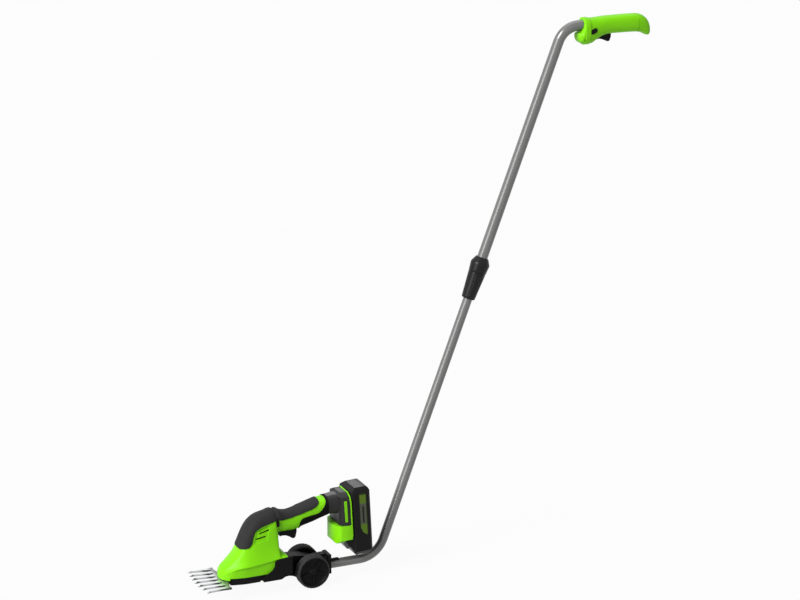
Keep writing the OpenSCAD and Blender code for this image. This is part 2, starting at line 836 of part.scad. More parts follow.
module lock_button() {
    color(black)
        translate([lock_x - lock_w / 2, -lock_hw, lock_z - lock_h / 2])
            cube([lock_w, 2 * lock_hw, lock_h]);
}

// Dock at the end of the handle. Its back plane, the rim and the pack lean by the rake.
dock_x = [108, 129.5];
dock_z = [46.5, 146];
dock_split = 83;
dock_hw = 33;
foot_out = 1;
rake_z = 100;
rim_t = 2.2;
tongue_hw = 17;
tongue_x = dock_x[1] - 8.5;
tongue_z = [58, 134];
lip_w = 3.4;
cavity_hw = tongue_hw + lip_w + slide;
bar_x = [dock_x[1] - 12, dock_x[1] - 6.5];
bar_z = [91, 134];
bar_deep = 3.5;
contact_y = 8;
module on_rake() {
    translate([dock_x[1], 0, rake_z])
        rotate([0, -rake, 0])
            translate([-dock_x[1], 0, -rake_z])
                children();
}
// Block cut to a side and a front outline, larger all round by g, over the given half plan
module dock_block(front, plan, g) {
    deep = dock_x[1] + 12;
    intersection() {
        across(60)
            polygon([[front, 58], [front + 4, dock_z[0]], [deep, dock_z[0]], [deep, dock_z[1] + g],
                [front + 6, dock_z[1] + g], [front, dock_z[1] - 5]]);
        linear_extrude(300)
            polygon(concat(plan, [[deep, dock_hw + g], [deep, -dock_hw - g]],
                [for (i = [len(plan) - 1 : -1 : 0]) [plan[i][0], -plan[i][1]]]));
        rotate([90, 0, 90])
            linear_extrude(300)
                polygon([[dock_hw - 8, dock_z[0]], [dock_hw + g, dock_z[0] + 7], [dock_hw + g, 130],
                    [dock_hw - 5, 140], [dock_hw - 15, dock_z[1] + g], [15 - dock_hw, dock_z[1] + g],
                    [5 - dock_hw, 140], [-dock_hw - g, 130], [-dock_hw - g, dock_z[0] + 7],
                    [8 - dock_hw, dock_z[0]]]);
    }
}
cover_plan = [[dock_x[0], dock_hw - 10], [dock_x[0] + 4, dock_hw - 3.5], [dock_x[0] + 11, dock_hw]];
foot_x0 = dock_x[0] - 10.5;
foot_bow = 10;
foot_plan = concat(
    [for (i = [1 : 6]) [foot_x0 + foot_bow * pow(i / 6, 2), (dock_hw + foot_out - 1.5) * i / 6]],
    [[foot_x0 + foot_bow + 2.5, dock_hw + foot_out]]);
// Everything ahead of the raked plane at x
module ahead_of(x) {
    on_rake()
        translate([x - 200, -100, -100])
            cube([200, 200, 400]);
}
// Side bars with the links that carry them from the rim, larger all round by gap
module side_bars(gap) {
    on_rake()
        for (s = [-1, 1]) {
            translate([bar_x[0] - gap, s > 0 ? dock_hw - bar_deep - gap : -dock_hw - 1, bar_z[0] - gap])
                cube([bar_x[1] - bar_x[0] + 2 * gap, bar_deep + 1 + gap, bar_z[1] - bar_z[0] + 2 * gap]);
            translate([bar_x[1] - 3, s * (dock_hw - bar_deep / 2) - 0.9 - gap, bar_z[0] + 4 - gap])
                cube([dock_x[1] - bar_x[1] + 4, 1.8 + 2 * gap, bar_z[1] - bar_z[0] - 8 + 2 * gap]);
        }
}
// Room for the pack's tongue, open at the bottom and the back
module tongue_room() {
    on_rake()
        translate([tongue_x - slide, -cavity_hw, 20])
            cube([20, 2 * cavity_hw, tongue_z[1] + 2 - 20]);
}
module dock_cover() {
    neck_keys = [[grip_end_x + fit, 102.9, 141.1, grip_hw + 0.6],
        [grip_end_x + 6, 103.6, 141.6, grip_hw + 0.8],
        [dock_x[0] - 6, 103.4, 142.4, grip_hw + 2], [dock_x[0] + 4, 102, 143, grip_hw + 4]];
    color(charcoal)
        difference() {
            union() {
                intersection() {
                    dock_block(dock_x[0], cover_plan, 0);
                    ahead_of(dock_x[1] - fit);
                    translate([0, -60, dock_split + fit])
                        cube([200, 120, 200]);
                }
                skin([for (k = smooth(neck_keys, 2)) oval_ring(k[0], k[1], k[2], k[3], 2.8, 24)]);
            }
            side_bars(fit);
            tongue_room();
            translate([dock_x[0] + 3, -16, 98])
                cube([15, 32, 32]);
        }
}
module dock_frame() {
    color(lime)
        difference() {
            union() {
                intersection() {
                    dock_block(foot_x0, foot_plan, foot_out);
                    ahead_of(dock_x[1] + 1);
                    translate([0, -60, 0])
                        cube([200, 120, dock_split]);
                }
                on_rake()
                    translate([dock_x[1], 0, 0])
                        rotate([90, 0, 90])
                            linear_extrude(rim_t)
                                polygon([[dock_hw - 6, 54], [dock_hw + foot_out, 60],
                                    [dock_hw + 0.8, 130.5],
                                    [dock_hw - 4.2, 141], [dock_hw - 14.5, dock_z[1] + 1.5],
                                    [14.5 - dock_hw, dock_z[1] + 1.5], [4.2 - dock_hw, 141],
                                    [-dock_hw - 0.8, 130.5],
                                    [-dock_hw - foot_out, 60], [6 - dock_hw, 54]]);
                intersection() {
                    side_bars(0);
                    translate([0, -dock_hw + 0.3, 0])
                        cube([200, 2 * dock_hw - 0.6, 200]);
                }
            }
            tongue_room_low();
            on_rake()
                translate([dock_x[1] - 1, -tongue_hw - slide, 20])
                    cube([10, 2 * (tongue_hw + slide), tongue_z[1] + 2 - 20]);
        }
}
// The same room below the rim, and the shoe's notch in the foot
module tongue_room_low() {
    on_rake() {
        translate([tongue_x - slide, -cavity_hw, 20])
            cube([dock_x[1] - tongue_x + slide, 2 * cavity_hw, 80]);
        translate([shoe_x - 1.5, -100, 20])
            cube([30, 200, shoe_z + 0.6 - 20]);
    }
}
module terminal_block() {
    color(black) {
        translate([dock_x[0] + 3 + fit, -15, 100])
            cube([tongue_x - 5 - dock_x[0], 30, 28]);
        on_rake()
            for (s = [-1, 1])
                translate([tongue_x - 4, s * contact_y - 0.5, 104])
                    cube([7, 1, 18]);
    }
}

// Battery pack
pack_x = dock_x[1] + rim_t + 0.3;
pack_back = pack_x + pack_depth;
pack_low = 17;
pack_seam = pack_x + 7;
shoe_x = tongue_x - 3;
shoe_z = 53;
ramp_foot = pack_seam - 1.5;
ramp = atan2(ramp_foot - shoe_x, shoe_z - 0.5 - pack_low);
module pack_form() {
    intersection() {
        across(60)
            polygon([[pack_x, pack_top - 14], [pack_x + 4, pack_top - 6], [pack_x + 12, pack_top],
                [pack_back - 6, pack_top], [pack_back - 1.5, pack_top - 2.5], [pack_back, pack_top - 7],
                [pack_back, pack_low + 9],
                [pack_back - 6, pack_low], [ramp_foot, pack_low], [shoe_x, shoe_z - 0.5], [shoe_x, shoe_z],
                [pack_x, shoe_z]]);
        linear_extrude(300)
            polygon([[shoe_x, pack_hw - 9], [pack_x - 0.5, pack_hw - 6], [pack_x + 5.5, pack_hw],
                [pack_back - 4, pack_hw], [pack_back, pack_hw - 4], [pack_back, 4 - pack_hw],
                [pack_back - 4, -pack_hw], [pack_x + 5.5, -pack_hw], [pack_x - 0.5, 6 - pack_hw],
                [shoe_x, 9 - pack_hw]]);
        rotate([90, 0, 90])
            linear_extrude(400)
                polygon([[pack_hw - 7, pack_low], [pack_hw, pack_low + 8], [pack_hw, pack_top - 16],
                    [pack_hw - 4, pack_top - 6], [pack_hw - 12, pack_top], [12 - pack_hw, pack_top],
                    [4 - pack_hw, pack_top - 6], [-pack_hw, pack_top - 16], [-pack_hw, pack_low + 8],
                    [7 - pack_hw, pack_low]]);
    }
}
pack_wall = 2;
cell_x = pack_back - pack_wall - cell_r - 4;
cell_pitch = 2 * cell_r + 0.3;
cell_z = pack_low + pack_wall + 6;
panel_outline = [[pack_x + 15, 141], [pack_x + 18, 145], [pack_x + 28, 145], [pack_x + 31.5, 141],
    [pack_x + 32, 68], [pack_x + 30, 55], [pack_x + 20, 65], [pack_x + 15.5, 77]];
panel_depth = 1;
module panel_cut(grow, depth) {
    for (s = [-1, 1])
        translate([0, s * (pack_hw - depth / 2 + 0.5), 0])
            across(depth / 2 + 0.5)
                offset(grow)
                    polygon(panel_outline);
}
module battery_case() {
    color(black)
        on_rake()
            difference() {
                intersection() {
                    pack_form();
                    translate([pack_seam + fit, -60, 0])
                        cube([100, 120, 200]);
                }
                translate([pack_seam - 1, -cell_len / 2 - 0.3, cell_z - 0.3])
                    cube([cell_x + cell_r + 0.3 - pack_seam + 1, cell_len + 0.6,
                        cell_count * cell_pitch + 0.6]);
                panel_cut(0, panel_depth);
            }
}
module battery_panels() {
    color([0.36, 0.42, 0.30])
        on_rake()
            difference() {
                panel_cut(-fit, panel_depth - 0.05);
                for (s = [-1, 1])
                    translate([0, s * (pack_hw + 5 - 0.3), 0])
                        cube([400, 10, 400], center = true);
            }
}
module battery_cells() {
    color([0.25, 0.45, 0.30])
        on_rake()
            for (i = [0 : cell_count - 1])
                translate([cell_x, 0, cell_z + cell_r + i * cell_pitch])
                    rotate([90, 0, 0])
                        cylinder(r = cell_r, h = cell_len, center = true);
}
// Frame on the sloping front of the pack's shoe: +X goes into the pack, -Z runs down the slope
module on_ramp() {
    translate([shoe_x, 0, shoe_z - 0.5])
        rotate([0, -ramp, 0])
            children();
}
latch_len = 18;
latch_top = 10;
latch_hw = 12;
latch_out = 6;
latch_in = 3.5;
latch_travel = 3;
module battery_cover() {
    color(black)
        on_rake()
            difference() {
                union() {
                    intersection() {
                        pack_form();
                        translate([0, -60, 0])
                            cube([pack_seam, 120, 200]);
                    }
                    translate([tongue_x, -tongue_hw, shoe_z - 1])
                        cube([pack_x - tongue_x + 1, 2 * tongue_hw, tongue_z[1] - shoe_z + 1]);
                    translate([tongue_x, -tongue_hw - lip_w, tongue_z[0]])
                        cube([dock_x[1] - slide - tongue_x, 2 * (tongue_hw + lip_w),
                            tongue_z[1] - tongue_z[0]]);
                }
                for (s = [-1, 1])
                    translate([tongue_x - 1, s * contact_y - 1.2, 100])
                        cube([6, 2.4, 60]);
                on_ramp()
                    translate([-20, -latch_hw - slide, -latch_top - latch_len - slide])
                        cube([20 + latch_in + latch_travel + slide, 2 * (latch_hw + slide),
                            latch_len + 2 * slide]);
            }
}
module battery_latch() {
    color([0.45, 0.46, 0.47])
        on_rake()
            on_ramp()
                translate([0, 0, -latch_top - latch_len])
                    rotate([90, 0, 0])
                        linear_extrude(2 * latch_hw, center = true)
                            polygon([[-latch_out + 1.5, 0], [latch_in, 0], [latch_in, latch_len],
                                [-latch_out + 2.5, latch_len], [-latch_out, latch_len - 4],
                                [-latch_out, 3]]);
}
latch_spring_h = latch_travel + slide - fit;
module latch_spring() {
    color(steel)
        on_rake()
            on_ramp()
                translate([latch_in + fit / 2, 0, -latch_top - latch_len / 2])
                    rotate([0, 90, 0])
                        coil(3, 0.35, latch_spring_h, 2);
}

// Trolley
cradle_hw = body_hw + slide;
cradle_x = [-57, 0.6];
cradle_low = -2.4;
flange_x = [88, 95];
flange_z = [-18, 21];
hub_out = 6;
socket_x = 60;
pin_x = 76;
pin_peg_r = 2.5;
module trolley_bracket() {
    x0 = cradle_x[1];
    heel_h = 33;
    color(black)
        difference() {
            union() {
                across(cradle_hw + cradle_t)
                    polygon([[cradle_x[0], cradle_low + 4], [cradle_x[0] + 3, cradle_low],
                        [-18, cradle_low],
                        [-4, cradle_low + 7], [x0 + cradle_t + 2, cradle_low + 9], [x0 + cradle_t + 2, 41],
                        [x0, 41.5], [-26, 38], [-30, 34], [-31, 25], [-36, 18], [-50, 9],
                        [cradle_x[0], 6]]);
                across(neck_hw)
                    polygon([[x0, -8], [30, -14], [62, -17], [flange_x[0], -17], [flange_x[0], 16],
                        [62, 19],
                        [36, 28], [20, 30], [x0, heel_h - 1]]);
                translate([flange_x[0], -neck_hw - 3, flange_z[0]])
                    cube([flange_x[1] - flange_x[0], 2 * neck_hw + 6, flange_z[1] - flange_z[0]]);
                for (s = [-1, 1])
                    translate([heel_gap, s * (neck_hw + hub_out / 2 - 0.1), axle_z - sole_z])
                        rotate([90, 0, 0])
                            cylinder(r = 9, h = hub_out + 0.2, center = true);
            }
            across(cradle_hw)
                polygon([[-70, -0.2], [x0, -0.2], [x0, heel_h], [x0 + cradle_t + 3, heel_h],
                    [x0 + cradle_t + 3, 60], [-70, 60]]);
            translate([socket_x, 0, socket_z - sole_z])
                rotate([0, 90, 0])
                    cylinder(r = lower_r + fit, h = 100);
            translate([heel_gap, 0, axle_z - sole_z])
                rotate([90, 0, 0])
                    cylinder(r = axle_r + run, h = 100, center = true);
            translate([pin_x, 0, socket_z - sole_z])
                cylinder(r = pin_peg_r + 2 * run, h = 60);
            for (s = [-1, 1])
                translate([26, s * (neck_hw + 1.2), 6])
                    cube([22, 6, 26], center = true);
        }
}
module axle() {
    color(steel)
        rotate([90, 0, 0])
            cylinder(r = axle_r, h = 2 * axle_end, center = true);
}
wheel_in = neck_hw + hub_out + slide;
wheel_out = wheel_in + wheel_w;
rim_r = wheel_r - tyre_t;
axle_end = wheel_out - 2.4;
// Wheel on the +Y side: a dished disc with a boss and five spokes
module wheel() {
    rotate([-90, 0, 0])
        difference() {
            union() {
                rotate_extrude($fn = 96)
                    polygon([[axle_r + run, wheel_in], [10, wheel_in], [10, wheel_in + 5],
                        [rim_r - 4, wheel_in + 5],
                        [rim_r - 3, wheel_in + 0.8], [rim_r, wheel_in + 0.8], [rim_r, wheel_out],
                        [rim_r - 1.6, wheel_out], [rim_r - 4, wheel_out - 4.6], [12, wheel_out - 6.4],
                        [9.5, wheel_out - 5], [axle_r + run, wheel_out - 5]]);
                for (a = [0 : 72 : 288])
                    rotate(a + 18)
                        translate([9, -1.7, wheel_out - 8])
                            cube([rim_r - 12, 3.4, 5.2]);
            }
        }
}
module tyre() {
    rotate([-90, 0, 0])
        difference() {
            rotate_extrude($fn = 96)
                polygon([[rim_r + fit / 2, wheel_in + 0.8], [wheel_r - 1.6, wheel_in + 0.8],
                    [wheel_r, wheel_in + 2.4], [wheel_r, wheel_out - 2], [wheel_r - 1.4, wheel_out + 0.4],
                    [rim_r + fit / 2, wheel_out + 0.4]]);
            for (i = [0 : tread_count - 1])
                rotate(360 * i / tread_count)
                    translate([wheel_r - 1.1, -1.2, wheel_in - 1])
                        cube([5, 2.4, wheel_w + 3]);
        }
}
module wheel_left() {
    color(black)
        mirror([0, 1, 0])
            wheel();
}
module wheel_right() {
    color(black)
        wheel();
}
module tyre_left() {
    color([0.16, 0.16, 0.17])
        mirror([0, 1, 0])
            tyre();
}
module tyre_right() {
    color([0.16, 0.16, 0.17])
        tyre();
}
module axle_caps() {
    color(charcoal)
        for (s = [0, 1])
            mirror([0, s, 0])
                rotate([-90, 0, 0])
                    rotate_extrude()
                        polygon([[axle_r + fit / 5, wheel_out - 5 + slide], [8, wheel_out - 5 + slide],
                            [8, wheel_out - 3.4], [5.5, wheel_out - 1.6], [0, wheel_out - 1.4],
                            [0, axle_end + fit], [axle_r + fit / 5, axle_end + fit]]);
}
// Sprung pin that locks the lower tube in its socket
module pole_pin() {
    top = neck_pin_z() + 0.3;
    color(black)
        difference() {
            union() {
                translate([pin_x, 0, socket_z - sole_z + lower_r - tube_t - 1])
                    cylinder(r = pin_peg_r, h = top + 2 - (socket_z - sole_z + lower_r - tube_t - 1));
                translate([pin_x - 13, -7, top])
                    cube([22, 14, 3.4]);
            }
            for (i = [-1 : 1])
                translate([pin_x - 6 + 4 * i, -8, top + 2.6])
                    cube([1.6, 16, 2]);
        }
}
function neck_pin_z() = 18.6;

// Pole
module on_lean() {
    translate([corner_x, 0, socket_z])
        rotate([0, lean, 0])
            children();
}
module tube(r, t, h) {
    difference() {
        cylinder(r = r, h = h);
        translate([0, 0, -1])
            cylinder(r = r - t, h = h + 2);
    }
}
turn = 90 - lean;
lower_tan = lower_bend_r * tan(turn / 2);
upper_tan = upper_bend_r * tan(turn / 2);
module elbow(r, t, bend_r) {
    rotate_extrude(angle = turn, $fn = 96)
        translate([bend_r, 0])
            difference() {
                circle(r);
                circle(r - t);
            }
}
tube_in = heel_x + socket_x + 1;
// A bend is drawn a little thinner than the straight tube that laps over its ends
thin = 0.1;
lap = 1.5;
module lower_tube() {
    color(tube_grey)
        difference() {
            union() {
                translate([tube_in, 0, socket_z])
                    rotate([0, 90, 0])
                        tube(lower_r, tube_t, corner_x - lower_tan - tube_in + lap);
                translate([corner_x - lower_tan, 0, socket_z + lower_bend_r])
                    rotate([90, 0, 0])
                        rotate(-90)
                            elbow(lower_r - thin, tube_t - 2 * thin, lower_bend_r);
                on_lean()
                    translate([0, 0, lower_tan - lap])
                        tube(lower_r, tube_t, joint_s + overlap - lower_tan + lap);
            }
            translate([heel_x + pin_x, 0, socket_z])
                cylinder(r = pin_peg_r + 0.3, h = 40);
        }
}
bar_in = 62;
module upper_tube() {
    color(tube_grey) {
        on_lean()
            translate([0, 0, joint_s])
                tube(upper_r, tube_t, pole_run - upper_tan - joint_s + lap);
        translate([top_x + upper_tan, 0, grip_z - upper_bend_r])
            rotate([90, 0, 0])
                rotate(90)
                    elbow(upper_r - thin, tube_t - 2 * thin, upper_bend_r);
        translate([top_x + upper_tan - lap, 0, grip_z])
            rotate([0, 90, 0])
                tube(upper_r, tube_t, bar_in - upper_tan + lap);
    }
}
module tube_bush() {
    end = joint_s + overlap;
    color(black)
        on_lean() {
            translate([0, 0, end + fit])
                cylinder(r = upper_r - tube_t - run, h = 10);
            translate([0, 0, end - 14])
                cylinder(r = lower_r - tube_t - fit / 5, h = 14.5);
        }
}
module tube_stop() {
    stop_x = heel_x + flange_x[1] + 0.3;
    color(black)
        translate([stop_x, 0, socket_z])
            rotate([0, 90, 0])
                intersection() {
                    tube(lower_r + 1.8, 1.8 - fit, 20);
                    translate([-20, -5, -1])
                        cube([20, 10, 30]);
                }
}
collar_len = 30;
collar_r = 17.4;
shoulder_r = 19;
sleeve_len = 54;
sleeve_low_r = 13.4;
module lock_collar() {
    color(black)
        on_lean()
            translate([0, 0, joint_s + 5])
                rotate_extrude($fn = 96)
                    polygon([[upper_r + fit, 0], [collar_r - 0.4, 0], [collar_r, 0.8],
                        [shoulder_r, collar_len - 13],
                        [shoulder_r - 0.6, collar_len - 11], [upper_r + 2.8, collar_len - 1.2],
                        [upper_r + 1.8, collar_len], [upper_r + fit, collar_len]]);
}
chamber_low = 24;
flutes = 12;
module lock_sleeve() {
    top = joint_s + 5 - slide;
    color(black)
        on_lean()
            translate([0, 0, top - sleeve_len])
                difference() {
                    rotate_extrude($fn = 96)
                        polygon([[lower_r + slide, 0], [sleeve_low_r - 0.8, 0], [sleeve_low_r, 1.5],
                            [collar_r - 0.3, sleeve_len - 1], [collar_r - 1, sleeve_len],
                            [upper_r + slide, sleeve_len],
                            [upper_r + slide, sleeve_len - 12], [lower_r + slide, chamber_low - 6]]);
                    for (i = [0 : flutes - 1])
                        rotate(360 * i / flutes)
                            translate([sleeve_low_r + 1.3, 0, 6])
                                rotate([0, atan2(collar_r - 0.3 - sleeve_low_r, sleeve_len - 2.5), 0])
                                    cylinder(r = 1.5, h = sleeve_len - 12, $fn = 24);
                }
}
module lock_collet() {
    color([0.8, 0.8, 0.78])
        on_lean()
            translate([0, 0, joint_s - 14])
                difference() {
                    cylinder(r = upper_r - slide, h = 14 - fit);
                    translate([0, 0, -1])
                        cylinder(r = lower_r + run, h = 20);
                    for (a = [0 : 90 : 270])
                        rotate(a)
                            translate([lower_r - 1, -0.7, -1])
                                cube([4, 1.4, 11]);
                }
}

// Upper handle: rows of x, bottom, top and half width about the pole's top corner
bar_keys = [
    [28, -26, -14, -6],
    [31, -31.5, -12.5, -2],
    [36, -34.5, -9, 0.5],
    [40, -36, 13.5, 1],
    [45, -36.3, 13.6, 1.2],
    [57, -36, 13.3, 1],
    [70, -27.6, 13.8, 0.5],
    [88, -20.6, 14.8, 0],
    [119, -20, 15.2, 0],
    [149, -20.4, 15, 0],
    [161, -21.6, 14, -0.3],
    [169, -24.2, 11, -1],
    [177, -28.2, 4.5, -2.2],
    [182, -28.6, -5, -4.5],
    [bar_len, -26, -14, -8]];
bar_seam = 156;
bar_front = [40.5, 50];
bar_trigger_hw = 6;
bar_trigger_x = [64, 100];
bar_pockets = [[66, 105], [119, 139]];
bar_pivot = [69, -18];
bar_screw_places = [[52, -25], [112, -12], [146, 4]];
button_at = [57, -10.5];
button_r = [7.2, 4.2];
button_tilt = 28;
button_travel = 3;
bar_rows = smooth(bar_keys, 2);
seam_w = 1;
seam_deep = 0.9;
function bar_ring(k, g) = oval_ring(k[0], k[1] - g, k[2] + g, bar_hw + k[3] + g, 2.7, 24);
module bar_form() {
    skin([for (k = bar_rows) bar_ring(k, 0)]);
}
// Raised lip round the front of the handle
module bar_lip() {
    k = bar_keys[4];
    skin([for (x = bar_front) bar_ring([x, k[1], k[2], k[3]], 1.3)]);
}
module button_shape(grow, h) {
    hull()
        for (s = [-1, 1])
            translate([button_at[0], 0, button_at[1]])
                rotate([0, -button_tilt, 0])
                    translate([s * (button_r[0] - button_r[1]), 0, 0])
                        rotate([90, 0, 0])
                            cylinder(r = button_r[1] + grow, h = h, $fn = 24);
}
// Shell on the -Y side
module bar_half(hole_r, sink) {
    difference() {
        intersection() {
            union() {
                bar_form();
                bar_lip();
            }
            translate([0, -50, -60])
                cube([bar_seam - fit, 50 - fit / 2, 120]);
        }
        for (x = bar_pockets)
            translate([x[0], -bar_hw + bar_wall + 1.6, bar_switch_z - 4.5])
                cube([x[1] - x[0], 50, 20]);
        rotate([0, 90, 0])
            cylinder(r = upper_r + fit, h = bar_in + fit);
        translate([bar_trigger_x[0] - 1, -bar_trigger_hw - slide, -50])
            cube([bar_trigger_x[1] - bar_trigger_x[0] + 2.5, 50, 40]);
        translate([bar_pivot[0], 0, bar_pivot[1]])
            rotate([90, 0, 0])
                cylinder(r = 1.5 + run, h = bar_hw - bar_wall, $fn = 24);
        for (p = bar_screw_places) {
            translate([p[0], 0, p[1]])
                rotate([90, 0, 0])
                    cylinder(r = hole_r, h = sink > 0 ? 40 : 8, $fn = 16);
            if (sink > 0)
                translate([p[0], -bar_screw_seat, p[1]])
                    rotate([90, 0, 0])
                        cylinder(r = 2.6 + fit, h = 40, $fn = 16);
        }
    }
}
bar_screw_seat = 9;
module handle_left() {
    color(lime)
        difference() {
            bar_half(1.3, 0);
            translate([0, -upper_r - 1.2, 0])
                button_shape(slide, 40);
        }
}
module handle_right() {
    color(lime)
        mirror([0, 1, 0])
            bar_half(1.4, 3);
}
module handle_end_cap() {
    k = bar_keys[9];
    color(lime)
        difference() {
            union() {
                intersection() {
                    bar_form();
                    translate([bar_seam + seam_w, -50, -60])
                        cube([100, 100, 120]);
                }
                skin([for (x = [0, seam_w + 1]) bar_ring([bar_seam + x, k[1], k[2], k[3]], -seam_deep)]);
            }
            translate([bar_seam - 1, -8, -12])
                cube([14, 16, 14]);
        }
}
module handle_button() {
    color(black)
        translate([0, -upper_r - 1.6 - button_travel, 0])
            button_shape(0, bar_hw + 2.4 - upper_r - 1.6 - button_travel);
}
bar_trigger_outline = [[64.5, -29.5], [64.5, -17], [68, -13.5], [79, -13], [99.5, -15], [99.5, -25.5],
    [96.5, -33.3], [93, -34.8], [89, -33.3], [82, -30], [74, -28]];
bar_switch_z = -9;
module handle_trigger() {
    color(black)
        difference() {
            across(bar_trigger_hw)
                offset(1.2, $fn = 20)
                    offset(-1.2)
                        polygon(bar_trigger_outline);
            translate([bar_pivot[0], 0, bar_pivot[1]])
                rotate([90, 0, 0])
                    cylinder(r = 1.5 + run, h = 60, center = true);
        }
}
module handle_trigger_pin() {
    color(steel)
        translate([bar_pivot[0], 0, bar_pivot[1]])
            rotate([90, 0, 0])
                cylinder(r = 1.5, h = 2 * (bar_hw - bar_wall - 2), center = true);
}
bar_spring_z = -13.4;
module handle_trigger_spring() {
    color(steel)
        translate([89, 0, bar_spring_z])
            coil(2.6, 0.4, bar_switch_z - bar_spring_z - fit, 2);
}
module handle_switch() {
    color(charcoal)
        difference() {
            translate([75, -11.8, bar_switch_z])
                cube([24, 23.6, 14]);
            for (s = [-1, 1])
                translate([87, s * 12, bar_switch_z + 7])
                    cube([8, 3, 7], center = true);
        }
}
module handle_screws() {
    color(steel)
        for (p = bar_screw_places)
            translate([p[0], -7, p[1]])
                rotate([-90, 0, 0]) {
                    cylinder(r = 1.2, h = 7 + bar_screw_seat + fit);
                    translate([0, 0, 7 + bar_screw_seat + fit])
                        cylinder(r = 2.6, h = 1.8);
                }
}

in_shears() housing_left();
in_shears() housing_right();
in_shears() hood_grip();
in_shears() lower_grip();
in_shears() base_cover();
in_shears() dock_cover();
in_shears() dock_frame();
in_shears() terminal_block();
in_shears() trigger();
in_shears() trigger_pin();
in_shears() trigger_spring();
in_shears() trigger_switch();
in_shears() lock_button();
in_shears() motor_can();
in_shears() motor_end_cap();
in_shears() motor_shaft();
in_shears() motor_pinion();
in_shears() drive_gear();
in_shears() gear_shaft();
in_shears() gear_bush();
in_shears() gearbox_plate();
in_shears() motor_plate();
in_shears() blade_holder();
in_shears() fixed_blade();
in_shears() moving_blade();
in_shears() blade_pivot();
in_shears() blade_screws();
in_shears() housing_screws();
in_shears() battery_case();
in_shears() battery_cover();
in_shears() battery_cells();
in_shears() battery_panels();
in_shears() battery_latch();
in_shears() latch_spring();
in_shears() trolley_bracket();
in_shears() pole_pin();
on_axle() axle();
on_axle() wheel_left();
on_axle() wheel_right();
on_axle() tyre_left();
on_axle() tyre_right();
on_axle() axle_caps();
in_trolley() tube_stop();
in_trolley() lower_tube();
in_trolley() upper_tube();
in_trolley() tube_bush();
in_trolley() lock_collar();
in_trolley() lock_sleeve();
in_trolley() lock_collet();
in_bar() handle_left();
in_bar() handle_right();
in_bar() handle_end_cap();
in_bar() handle_trigger();
in_bar() handle_trigger_pin();
in_bar() handle_trigger_spring();
in_bar() handle_button();
in_bar() handle_switch();
in_bar() handle_screws();
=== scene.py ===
import json
import math

import bpy
from mathutils import Matrix, Vector


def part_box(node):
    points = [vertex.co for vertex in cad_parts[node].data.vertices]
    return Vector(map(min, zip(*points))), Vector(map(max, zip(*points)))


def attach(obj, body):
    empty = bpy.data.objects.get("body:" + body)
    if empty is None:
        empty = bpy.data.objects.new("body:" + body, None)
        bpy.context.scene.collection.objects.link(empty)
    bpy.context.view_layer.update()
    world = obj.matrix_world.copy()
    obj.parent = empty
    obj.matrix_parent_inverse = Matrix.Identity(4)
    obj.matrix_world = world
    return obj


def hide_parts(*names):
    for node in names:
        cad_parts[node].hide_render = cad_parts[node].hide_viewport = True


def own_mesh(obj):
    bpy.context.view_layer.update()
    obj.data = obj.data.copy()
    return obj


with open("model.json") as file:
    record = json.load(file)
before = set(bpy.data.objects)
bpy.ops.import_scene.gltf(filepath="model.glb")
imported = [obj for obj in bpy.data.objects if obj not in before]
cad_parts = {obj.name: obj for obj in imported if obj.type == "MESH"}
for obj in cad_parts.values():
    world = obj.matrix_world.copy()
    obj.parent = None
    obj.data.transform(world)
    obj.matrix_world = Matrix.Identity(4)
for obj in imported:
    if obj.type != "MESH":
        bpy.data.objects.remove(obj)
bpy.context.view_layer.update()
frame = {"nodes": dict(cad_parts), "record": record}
nodes = frame["nodes"]

scene = bpy.context.scene
scene.view_settings.view_transform = "Standard"

# Camera fitted to the photograph: its frame and focal length in pixels, its place in metres
FRAME_WIDTH_PX = 800.0
FOCAL_LENGTH_PX = 2575.0
SENSOR_WIDTH_MM = 36.0
CAMERA_PLACE = (-1.9721, -4.3192, 1.9478)
CAMERA_AZIMUTH = math.radians(-24.0)
CAMERA_ELEVATION = math.radians(16.5)
CAMERA_REACH = 100.0

# Colours that several materials share
LIME = (0.195, 0.63, 0.005)
CHARCOAL = (0.022, 0.0216, 0.0215)
BLACK = (0.006, 0.0058, 0.0062)

# The band that most values of a noise texture fall in
NOISE_BAND = (0.3, 0.7)

# Agreement of a rounded edge's normal with the face's own, where wear starts and where it is full
WEAR_BAND = (0.99, 0.78)
ROUNDING_SAMPLES = 4

# Sockets of the Mix node that serve colours
MIX_SHARE, MIX_FIRST, MIX_SECOND = 0, 6, 7
MIX_RESULT = 2

# Edges under this angle are shaded smooth, after points this close are taken as one
SMOOTH_ANGLE = math.radians(32.0)
SAME_POINT = 0.000004

# Springs: the node, the body that carries it and the joint that presses on it
SPRINGS = (
    ("trigger_spring", "frame", "trigger_pull"),
    ("handle_trigger_spring", "upper_pole", "upper_trigger_pull"),
    ("latch_spring", "battery", "latch_press"),
)

# Floor just under the object, and the share of plain white in what the camera sees of it
FLOOR_HALF = 30.0
FLOOR_DROP = 0.0004
FLOOR_COLOR = (0.52, 0.52, 0.52, 1.0)
FLOOR_WHITE = 0.94

# Strength of the backdrop as it is seen, and as light on the object
BACKDROP_SEEN = 1.0
BACKDROP_LIGHT = 0.18

# Lamps: the direction towards each, its strength and its width in degrees
LAMP_DISTANCE = 3.0
LAMPS = {
    "key": ((-0.69, -0.28, 0.67), 3.2, 28.0),
    "side": ((-0.91, -0.34, 0.21), 1.2, 36.0),
    "top": ((0.15, 0.3, 0.95), 0.75, 60.0),
    "front": ((0.3, -0.93, 0.3), 0.1, 60.0),
}


